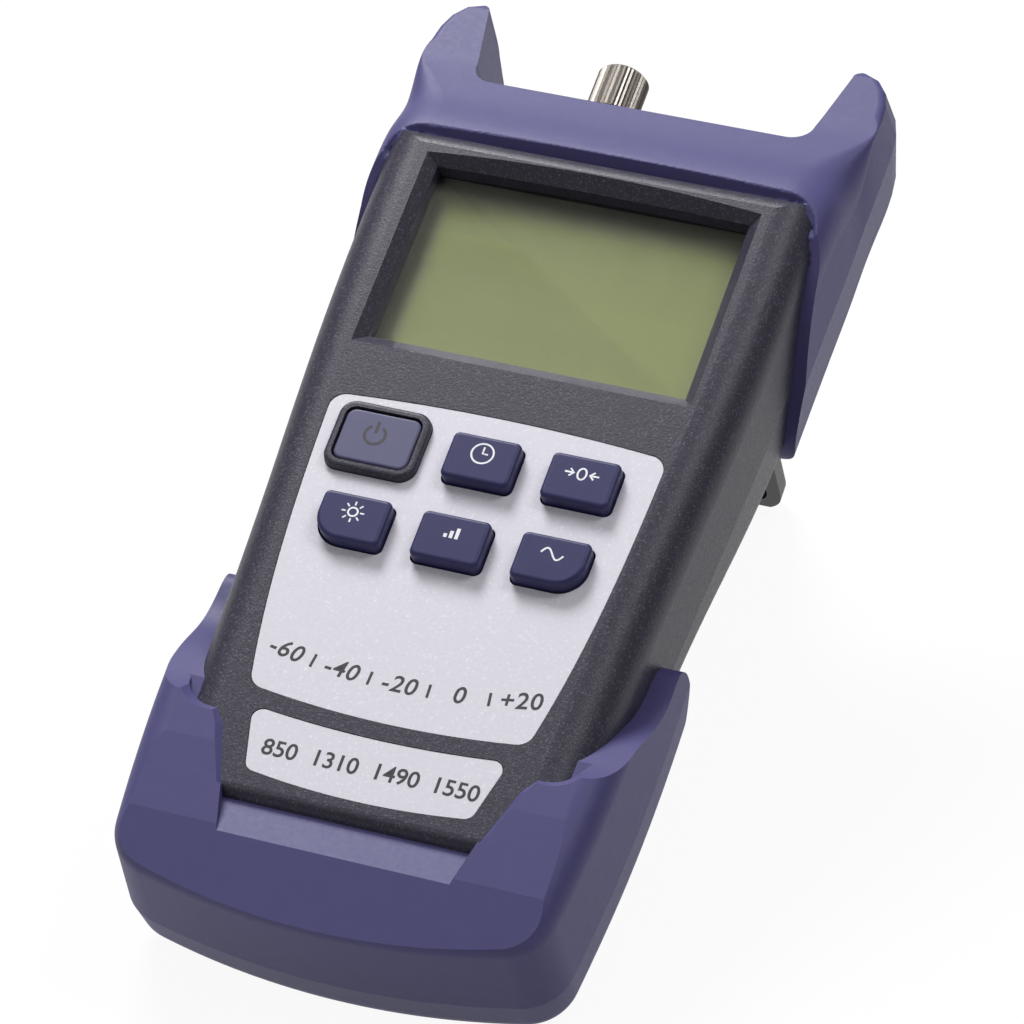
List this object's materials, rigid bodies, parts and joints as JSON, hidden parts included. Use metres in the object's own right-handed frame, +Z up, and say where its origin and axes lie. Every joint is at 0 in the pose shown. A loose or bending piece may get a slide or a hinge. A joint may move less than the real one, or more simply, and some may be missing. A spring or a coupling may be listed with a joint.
{
  "type": "handheld optical power meter",
  "caption": "Handheld optical power meter with a display, six keys, end guards, a capped optical port and a fold-out stand.",
  "frame": {"origin": "bottom centre of the bounding box of the meter standing on its open stand, on the table", "axes": "+Z up, +Y towards the optical port along the meter, +X to the right of a user facing the display; the face leans back 26 degrees from level"},
  "size_m": [0.0836, 0.1738, 0.0938],
  "materials": {
    "housing_grey": "fine sparkle texture, satin",
    "guard_violet": "fine matte texture",
    "label_silver": "speckled silver film",
    "clear_window": "clear polished",
    "lcd_green": "reflective display, no segments lit",
    "inner_plastic": "moulded",
    "key_grey": "satin",
    "key_blue": "satin gloss",
    "silicone": "matt",
    "spring_steel": "sprung plate",
    "board_green": "solder mask",
    "screw_steel": "plated",
    "chip_black": "moulded",
    "nickel": "nickel plated",
    "sleeve_ceramic": "polished",
    "nickel_knurled": "straight knurl, satin nickel",
    "stand_black": "satin",
    "cell_wrap": "plain sleeve"
  },
  "bodies": {
    "meter": {"front_shell": "housing_grey", "back_shell": "housing_grey", "top_guard_front": "guard_violet", "top_guard_back": "guard_violet", "boot_front": "guard_violet", "boot_back": "guard_violet", "label_upper": "label_silver", "label_lower": "label_silver", "display_lens": "clear_window", "lcd_panel": "lcd_green", "lcd_frame": "inner_plastic", "keypad_mat": "silicone", "switch_domes": "spring_steel", "main_board": "board_green", "board_screws": "screw_steel", "processor": "chip_black", "port_receptacle": "nickel", "ferrule_sleeve": "sleeve_ceramic", "port_screws": "screw_steel", "detector": "nickel", "stand_pin": "screw_steel", "battery_1": "cell_wrap", "battery_2": "cell_wrap", "battery_3": "cell_wrap", "battery_contacts": "spring_steel", "case_screws": "screw_steel"},
    "key_power": {"key_power": "key_grey"},
    "key_auto_off": {"key_auto_off": "key_blue"},
    "key_zero": {"key_zero": "key_blue"},
    "key_light": {"key_light": "key_blue"},
    "key_db": {"key_db": "key_blue"},
    "key_wavelength": {"key_wavelength": "key_blue"},
    "dust_cap": {"dust_cap": "nickel_knurled"},
    "kickstand": {"kickstand": "stand_black"},
    "battery_door": {"battery_door": "housing_grey"}
  },
  "joints": [
    {"name": "key_power_press", "type": "slide", "parent": "meter", "child": "key_power", "axis": [0, 0.4384, -0.8988], "range_m": [0, 0.0008], "stiffness_N_per_m": 400, "springref_m": -0.0006},
    {"name": "key_auto_off_press", "type": "slide", "parent": "meter", "child": "key_auto_off", "axis": [0, 0.4384, -0.8988], "range_m": [0, 0.0008], "stiffness_N_per_m": 400, "springref_m": -0.0006},
    {"name": "key_zero_press", "type": "slide", "parent": "meter", "child": "key_zero", "axis": [0, 0.4384, -0.8988], "range_m": [0, 0.0008], "stiffness_N_per_m": 400, "springref_m": -0.0006},
    {"name": "key_light_press", "type": "slide", "parent": "meter", "child": "key_light", "axis": [0, 0.4384, -0.8988], "range_m": [0, 0.0008], "stiffness_N_per_m": 400, "springref_m": -0.0006},
    {"name": "key_db_press", "type": "slide", "parent": "meter", "child": "key_db", "axis": [0, 0.4384, -0.8988], "range_m": [0, 0.0008], "stiffness_N_per_m": 400, "springref_m": -0.0006},
    {"name": "key_wavelength_press", "type": "slide", "parent": "meter", "child": "key_wavelength", "axis": [0, 0.4384, -0.8988], "range_m": [0, 0.0008], "stiffness_N_per_m": 400, "springref_m": -0.0006},
    {"name": "dust_cap_slide", "type": "slide", "parent": "meter", "child": "dust_cap", "axis": [0, 0.8988, 0.4384], "range_m": [0, 0.06]},
    {"name": "stand_hinge", "type": "hinge", "parent": "meter", "child": "kickstand", "pos_m": [0, 0.05142, 0.06115], "axis": [1, 0, 0], "range_deg": [-96, 0]},
    {"name": "battery_door_hinge", "type": "hinge", "parent": "meter", "child": "battery_door", "pos_m": [0, -0.06082, 0.00841], "axis": [-1, 0, 0], "range_deg": [0, 70]}
  ]
}
